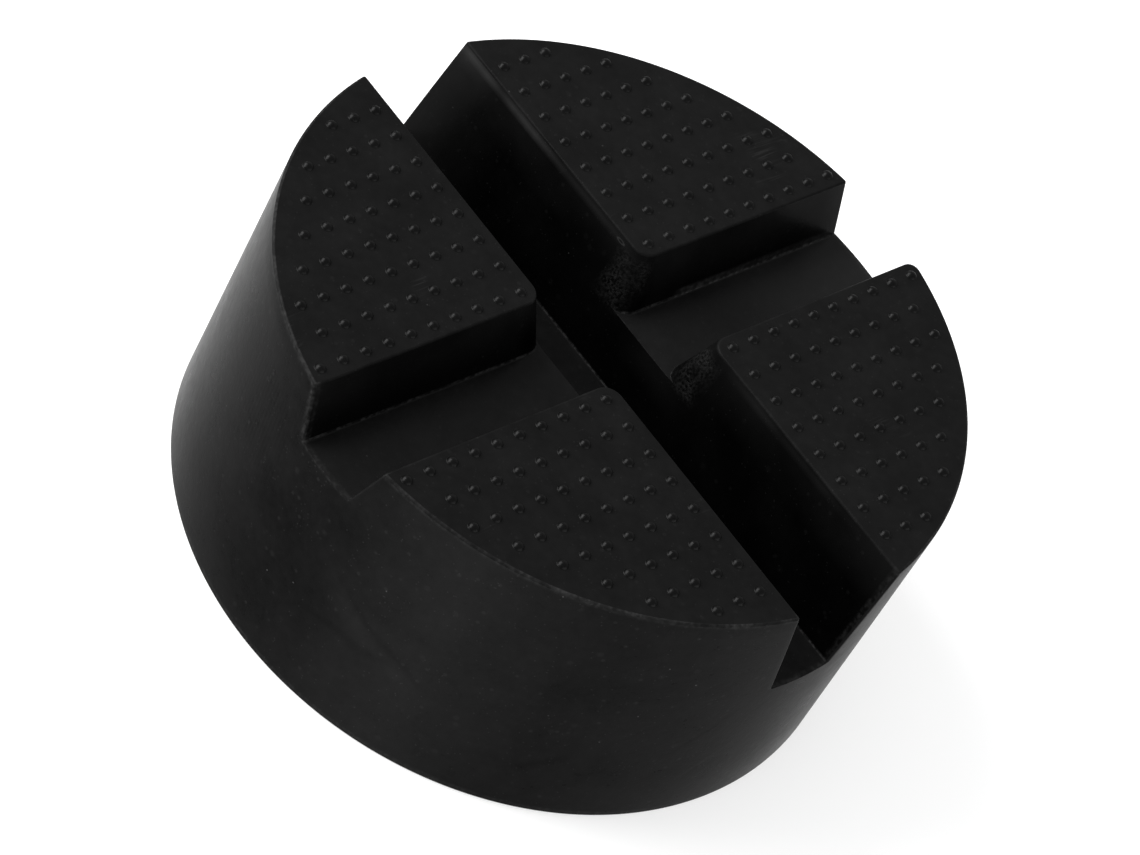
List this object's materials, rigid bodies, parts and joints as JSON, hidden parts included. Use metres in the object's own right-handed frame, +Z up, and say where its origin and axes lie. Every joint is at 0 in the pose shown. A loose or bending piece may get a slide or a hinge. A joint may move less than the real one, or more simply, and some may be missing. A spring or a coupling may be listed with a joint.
{
  "type": "slotted rubber jack pad",
  "caption": "Round moulded rubber jack pad with a deep slot and a shallower cross slot in its dotted top face, to take a sill seam or chassis rib.",
  "frame": {"origin": "centre of the flat base, on the surface that the pad stands on", "axes": "+Z up along the pad's round axis, +Y along the deep slot, +X along the shallow cross slot"},
  "size_m": [0.1, 0.0998, 0.0452],
  "materials": {
    "black_rubber": "satin black moulded rubber with faint mottling and dust"
  },
  "bodies": {
    "root": {"jack_pad": "black_rubber"}
  },
  "joints": []
}
